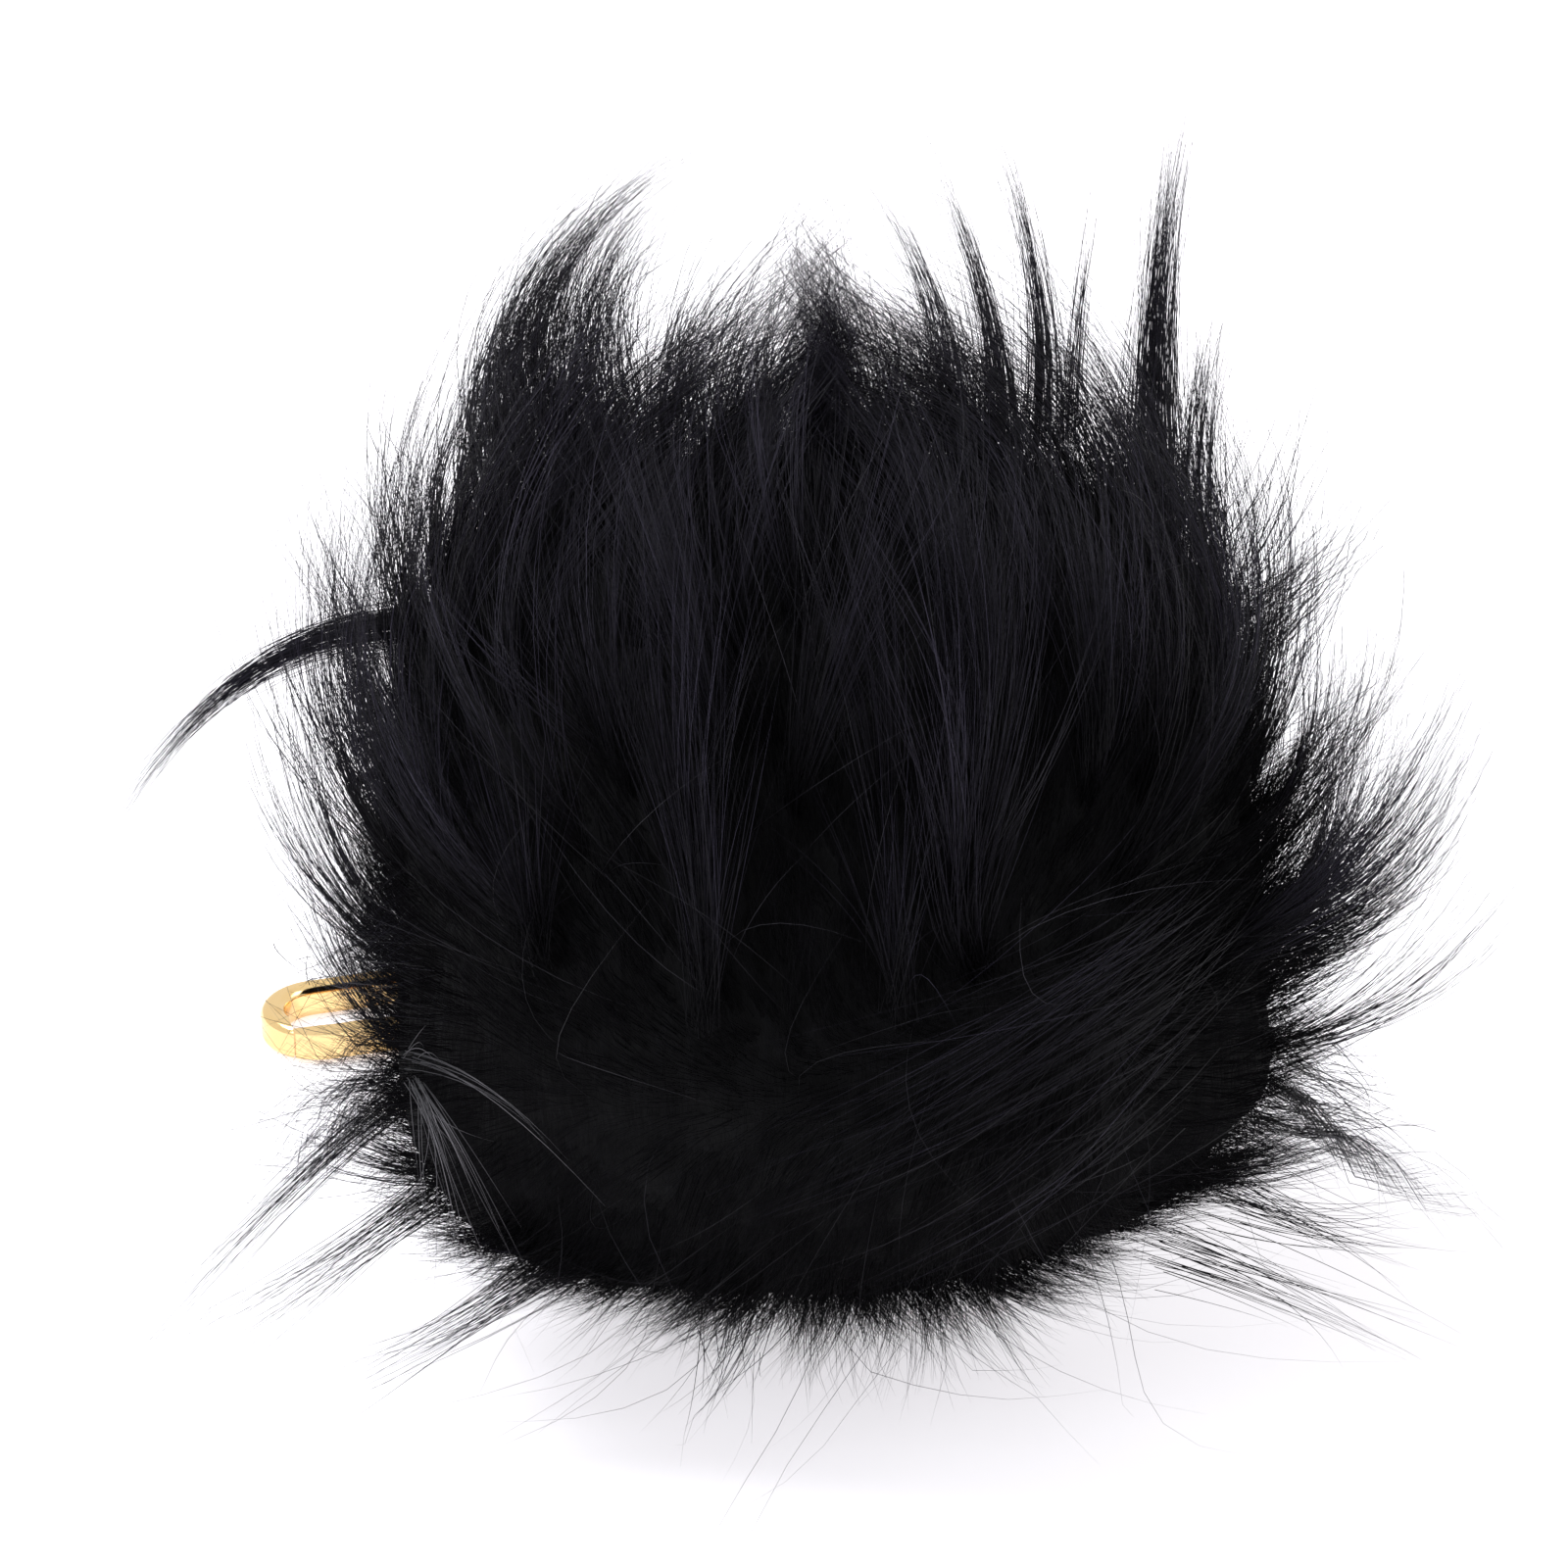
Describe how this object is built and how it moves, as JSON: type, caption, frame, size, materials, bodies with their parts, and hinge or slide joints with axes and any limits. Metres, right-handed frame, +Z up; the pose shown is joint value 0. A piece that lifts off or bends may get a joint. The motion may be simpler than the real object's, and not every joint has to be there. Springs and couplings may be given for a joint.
{
  "type": "fur ball charm",
  "caption": "Soft round ball of long fur with a leather strip, a short wire chain and a sprung swivel clasp for hanging it on a bag or keys.",
  "frame": {"origin": "centre of the flat patch of fur that the ball rests on", "axes": "+Z up from the surface it rests on; the leather strip and the metal lie behind the ball, towards +Y, and the clasp's nose points towards -X"},
  "size_m": [0.1257, 0.1321, 0.115],
  "materials": {
    "fur": "matte",
    "fibre": "matte",
    "hide": "matte",
    "thread": "satin",
    "leather": "satin",
    "gilt": "polished",
    "spring_steel": "satin"
  },
  "bodies": {
    "ball": {"stuffing_core": "fibre", "pelt_hide": "hide", "fur_pile": "fur", "gathering_thread": "thread", "hang_tab": "leather", "tab_stitching": "thread"},
    "d_ring": {"d_ring": "gilt"},
    "jump_ring": {"jump_ring": "gilt"},
    "chain_link_1": {"chain_link_1": "gilt"},
    "chain_link_2": {"chain_link_2": "gilt"},
    "chain_link_3": {"chain_link_3": "gilt"},
    "swivel_eye": {"swivel_eye": "gilt"},
    "clasp": {"clasp_body": "gilt", "gate_pin": "gilt", "gate_spring": "spring_steel"},
    "gate": {"gate": "gilt"}
  },
  "joints": [
    {"name": "d_ring_swing", "type": "hinge", "parent": "ball", "child": "d_ring", "pos_m": [0, 0.0586, 0.004], "axis": [1, 0, 0], "range_deg": [-45, 75]},
    {"name": "jump_ring_swing", "type": "hinge", "parent": "d_ring", "child": "jump_ring", "pos_m": [-0.00454, 0.06227, 0.00218], "axis": [-0.232, -0.4019, 0.8858], "range_deg": [-25, 25]},
    {"name": "link_1_swing", "type": "hinge", "parent": "jump_ring", "child": "chain_link_1", "pos_m": [-0.00844, 0.06452, 0.00218], "axis": [0.332, 0.6243, 0.7071], "range_deg": [-30, 30]},
    {"name": "link_2_swing", "type": "hinge", "parent": "chain_link_1", "child": "chain_link_2", "pos_m": [-0.014, 0.06748, 0.00218], "axis": [-0.1949, -0.6797, 0.7071], "range_deg": [-30, 30]},
    {"name": "link_3_swing", "type": "hinge", "parent": "chain_link_2", "child": "chain_link_3", "pos_m": [-0.02019, 0.06889, 0.00218], "axis": [0.0247, 0.7067, 0.7071], "range_deg": [-30, 30]},
    {"name": "eye_swing", "type": "hinge", "parent": "chain_link_3", "child": "swivel_eye", "pos_m": [-0.02655, 0.0687, 0.00218], "axis": [0.1297, -0.3991, 0.9077], "range_deg": [-25, 25]},
    {"name": "clasp_swivel", "type": "hinge", "parent": "swivel_eye", "child": "clasp", "pos_m": [-0.03254, 0.06675, 0.00218], "axis": [-0.9511, -0.309, 0], "continuous": true},
    {"name": "gate_hinge", "type": "hinge", "parent": "clasp", "child": "gate", "pos_m": [-0.04051, 0.05891, 0.00218], "axis": [0, 0, -1], "range_deg": [0, 18], "stiffness_Nm_per_rad": 0.004, "springref_deg": -20.05}
  ]
}
